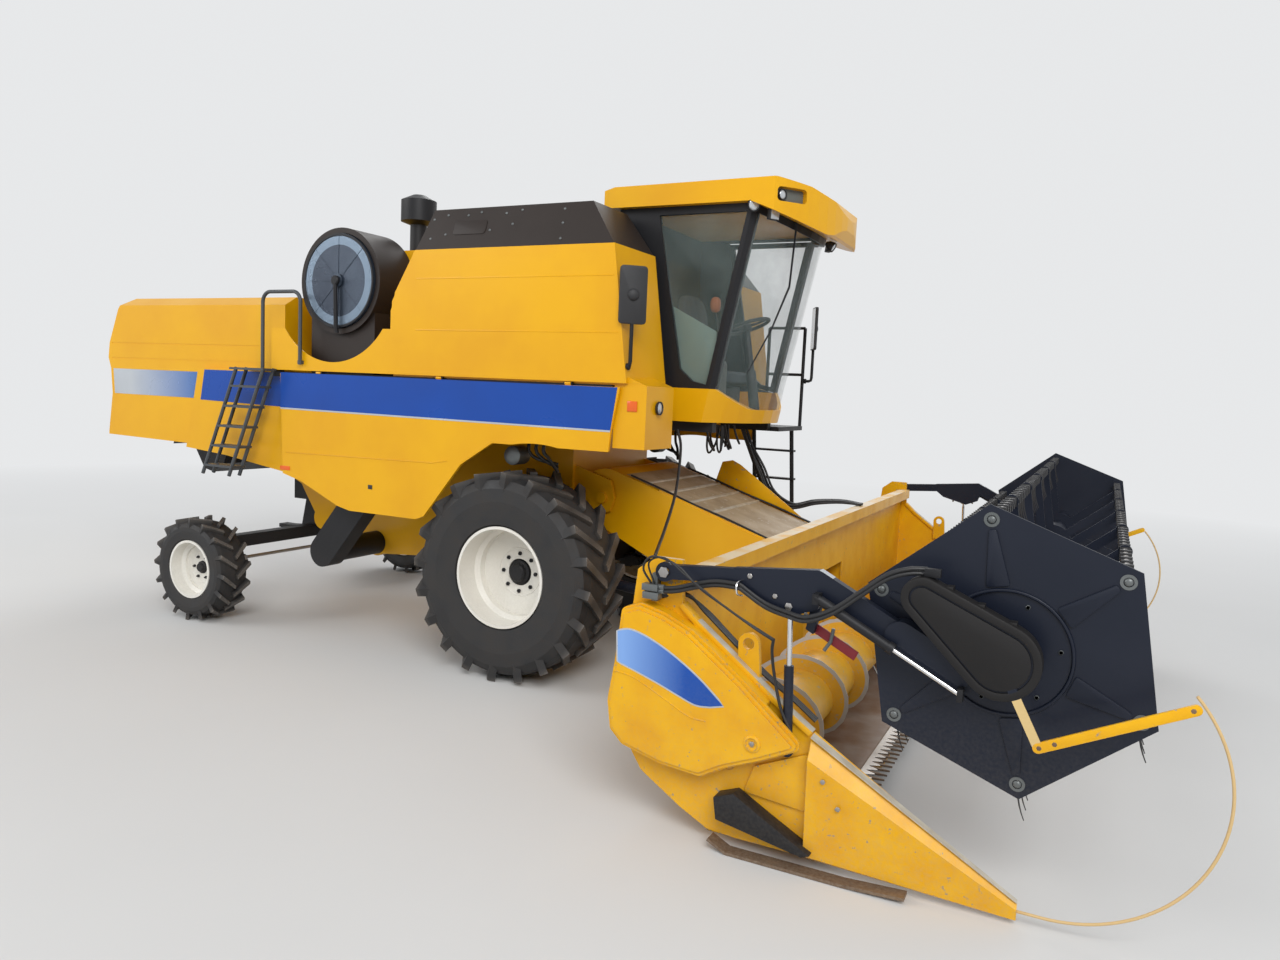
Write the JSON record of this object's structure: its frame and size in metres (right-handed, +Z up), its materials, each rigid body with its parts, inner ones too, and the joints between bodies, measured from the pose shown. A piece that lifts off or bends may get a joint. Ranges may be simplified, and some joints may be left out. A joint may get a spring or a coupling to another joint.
{
  "type": "combine harvester",
  "caption": "Self-propelled grain combine with cab, tank, rear straw hood, wide cutting header with tined reel, drive wheels and steered rear wheels.",
  "frame": {"origin": "on the ground under the middle of the whole machine's length and width", "axes": "+X forward to the header, +Y to the machine's left, +Z up"},
  "size_m": [9.7768, 6.372, 4.05],
  "materials": {
    "yellow_paint": "satin",
    "navy_paint": "satin",
    "black_paint": "satin",
    "brown_paint": "satin",
    "cream_paint": "satin",
    "tyre": "matte",
    "bare_steel": "brushed",
    "cab_glazing": "clear",
    "trim_plastic": "matte"
  },
  "bodies": {
    "root": {"separator_body": "yellow_paint", "deck": "black_paint", "grain_tank": "yellow_paint", "tank_rim": "brown_paint", "straw_hood": "yellow_paint", "chopper": "black_paint", "engine_block": "black_paint", "engine_cover": "yellow_paint", "cooling_drum": "brown_paint", "stacks": "black_paint", "elevators": "black_paint", "cab_base": "yellow_paint", "cab_frame": "black_paint", "cab_glass": "cab_glazing", "cab_roof": "yellow_paint", "cab_interior": "trim_plastic", "mirrors": "trim_plastic", "cab_steps": "black_paint", "rear_steps": "black_paint", "front_axle": "black_paint", "rear_axle": "black_paint", "unloader_base": "yellow_paint"},
    "shield_r": {"side_shield_r": "yellow_paint"},
    "shield_l": {"side_shield_l": "yellow_paint"},
    "screen": {"rotary_screen": "bare_steel"},
    "door": {"cab_door": "black_paint", "cab_door_glass": "cab_glazing"},
    "wheel_front_r": {"rim_front_r": "cream_paint", "tyre_front_r": "tyre"},
    "wheel_front_l": {"rim_front_l": "cream_paint", "tyre_front_l": "tyre"},
    "steer_knuckle_r": {"knuckle_r": "black_paint"},
    "steer_knuckle_l": {"knuckle_l": "black_paint"},
    "steer_rod": {"tie_rod": "bare_steel"},
    "wheel_rear_r": {"rim_rear_r": "cream_paint", "tyre_rear_r": "tyre"},
    "wheel_rear_l": {"rim_rear_l": "cream_paint", "tyre_rear_l": "tyre"},
    "header": {"feeder_house": "yellow_paint", "header_body": "yellow_paint", "end_shields": "yellow_paint", "dividers": "yellow_paint", "guards": "bare_steel"},
    "lift_cylinders": {"lift_barrels": "navy_paint"},
    "lift_pistons": {"lift_rods": "bare_steel"},
    "cutter": {"knife": "bare_steel"},
    "screw": {"auger": "bare_steel"},
    "arms": {"reel_arms": "navy_paint"},
    "reel_cylinders": {"reel_barrels": "navy_paint"},
    "reel_pistons": {"reel_rods": "bare_steel"},
    "carriers": {"reel_carriers": "navy_paint"},
    "reel": {"reel_frame": "navy_paint"},
    "unloader": {"unloader_tube": "yellow_paint"},
    "bar_1": {"tine_bar_1": "navy_paint"},
    "bar_2": {"tine_bar_2": "navy_paint"},
    "bar_3": {"tine_bar_3": "navy_paint"},
    "bar_4": {"tine_bar_4": "navy_paint"},
    "bar_5": {"tine_bar_5": "navy_paint"},
    "bar_6": {"tine_bar_6": "navy_paint"}
  },
  "joints": [
    {"name": "shield_r_lift", "type": "hinge", "parent": "root", "child": "shield_r", "pos_m": [0.1215, -1.538, 2.385], "axis": [-1, 0, 0], "range_deg": [0, 60]},
    {"name": "shield_l_lift", "type": "hinge", "parent": "root", "child": "shield_l", "pos_m": [0.1215, 1.538, 2.385], "axis": [1, 0, 0], "range_deg": [0, 60]},
    {"name": "screen_spin", "type": "hinge", "parent": "root", "child": "screen", "pos_m": [-1.6185, -1.3, 3.17], "axis": [0, 1, 0], "continuous": true},
    {"name": "door_swing", "type": "hinge", "parent": "root", "child": "door", "pos_m": [1.2985, 0.816, 2.33], "axis": [-0.1923, 0, 0.9813], "range_deg": [0, 80]},
    {"name": "wheel_front_r_spin", "type": "hinge", "parent": "root", "child": "wheel_front_r", "pos_m": [0.1215, -1.227, 0.84], "axis": [0, 1, 0], "continuous": true},
    {"name": "wheel_front_l_spin", "type": "hinge", "parent": "root", "child": "wheel_front_l", "pos_m": [0.1215, 1.227, 0.84], "axis": [0, 1, 0], "continuous": true},
    {"name": "steer_r", "type": "hinge", "parent": "root", "child": "steer_knuckle_r", "pos_m": [-3.3285, -1.165, 0.49], "axis": [0, 0, 1], "range_deg": [-35, 35]},
    {"name": "steer_l", "type": "hinge", "parent": "root", "child": "steer_knuckle_l", "pos_m": [-3.3285, 1.165, 0.49], "axis": [0, 0, 1], "range_deg": [-36, 36]},
    {"name": "steer_rod_turn", "type": "hinge", "parent": "steer_knuckle_r", "child": "steer_rod", "pos_m": [-3.1285, -1.165, 0.565], "axis": [0, 0, 1], "range_deg": [-36, 36]},
    {"name": "wheel_rear_r_spin", "type": "hinge", "parent": "steer_knuckle_r", "child": "wheel_rear_r", "pos_m": [-3.3285, -1.48, 0.49], "axis": [0, 1, 0], "continuous": true},
    {"name": "wheel_rear_l_spin", "type": "hinge", "parent": "steer_knuckle_l", "child": "wheel_rear_l", "pos_m": [-3.3285, 1.48, 0.49], "axis": [0, 1, 0], "continuous": true},
    {"name": "header_lift", "type": "hinge", "parent": "root", "child": "header", "pos_m": [0.5715, 0, 1.45], "axis": [0, -1, 0], "range_deg": [0, 20]},
    {"name": "lift_cylinder_tilt", "type": "hinge", "parent": "root", "child": "lift_cylinders", "pos_m": [0.3715, 0, 0.72], "axis": [0, -1, 0], "range_deg": [-0.5, 17.3]},
    {"name": "lift_piston_stroke", "type": "slide", "parent": "lift_cylinders", "child": "lift_pistons", "axis": [0.9954, 0, -0.0956], "range_m": [-0.01, 0.262]},
    {"name": "knife_stroke", "type": "slide", "parent": "header", "child": "cutter", "axis": [0, 1, 0], "range_m": [-0.038, 0.038]},
    {"name": "auger_spin", "type": "hinge", "parent": "header", "child": "screw", "pos_m": [2.6815, 0, 0.45], "axis": [0, 1, 0], "continuous": true},
    {"name": "reel_lift", "type": "hinge", "parent": "header", "child": "arms", "pos_m": [2.2955, 0, 1.415], "axis": [0, -1, 0], "range_deg": [-6, 11]},
    {"name": "reel_cylinder_tilt", "type": "hinge", "parent": "header", "child": "reel_cylinders", "pos_m": [3.0015, 0, 0.6], "axis": [0, -1, 0], "range_deg": [-3, 3]},
    {"name": "reel_piston_stroke", "type": "slide", "parent": "reel_cylinders", "child": "reel_pistons", "axis": [-0.0383, 0, 0.9993], "range_m": [-0.09, 0.15]},
    {"name": "reel_reach", "type": "slide", "parent": "arms", "child": "carriers", "axis": [0.8912, 0, -0.4536], "range_m": [-0.3, 0]},
    {"name": "reel_spin", "type": "hinge", "parent": "carriers", "child": "reel", "pos_m": [3.9585, 0, 1.242], "axis": [0, 1, 0], "continuous": true},
    {"name": "unloader_swing", "type": "hinge", "parent": "root", "child": "unloader", "pos_m": [0.6715, 1.79, 3.22], "axis": [0, 0, -1], "range_deg": [0, 105]},
    {"name": "bar_1_turn", "type": "hinge", "parent": "reel", "child": "bar_1", "pos_m": [3.85969, 0, 1.83888], "axis": [0, 1, 0], "continuous": true},
    {"name": "bar_2_turn", "type": "hinge", "parent": "reel", "child": "bar_2", "pos_m": [4.426, 0, 1.62601], "axis": [0, 1, 0], "continuous": true},
    {"name": "bar_3_turn", "type": "hinge", "parent": "reel", "child": "bar_3", "pos_m": [4.52482, 0, 1.02914], "axis": [0, 1, 0], "continuous": true},
    {"name": "bar_4_turn", "type": "hinge", "parent": "reel", "child": "bar_4", "pos_m": [4.05731, 0, 0.64512], "axis": [0, 1, 0], "continuous": true},
    {"name": "bar_5_turn", "type": "hinge", "parent": "reel", "child": "bar_5", "pos_m": [3.491, 0, 0.85799], "axis": [0, 1, 0], "continuous": true},
    {"name": "bar_6_turn", "type": "hinge", "parent": "reel", "child": "bar_6", "pos_m": [3.39218, 0, 1.45486], "axis": [0, 1, 0], "continuous": true}
  ],
  "couplings": [
    {"joint": "steer_l", "follows": "steer_r", "ratio": 1},
    {"joint": "steer_rod_turn", "follows": "steer_r", "ratio": -1},
    {"joint": "lift_cylinder_tilt", "follows": "header_lift", "ratio": 0.8398},
    {"joint": "lift_piston_stroke", "follows": "header_lift", "m_per_rad": 0.72204},
    {"joint": "reel_cylinder_tilt", "follows": "reel_lift", "ratio": -0.10246},
    {"joint": "reel_piston_stroke", "follows": "reel_lift", "m_per_rad": 0.67464},
    {"joint": "bar_1_turn", "follows": "reel_spin", "ratio": -1},
    {"joint": "bar_2_turn", "follows": "reel_spin", "ratio": -1},
    {"joint": "bar_3_turn", "follows": "reel_spin", "ratio": -1},
    {"joint": "bar_4_turn", "follows": "reel_spin", "ratio": -1},
    {"joint": "bar_5_turn", "follows": "reel_spin", "ratio": -1},
    {"joint": "bar_6_turn", "follows": "reel_spin", "ratio": -1}
  ]
}
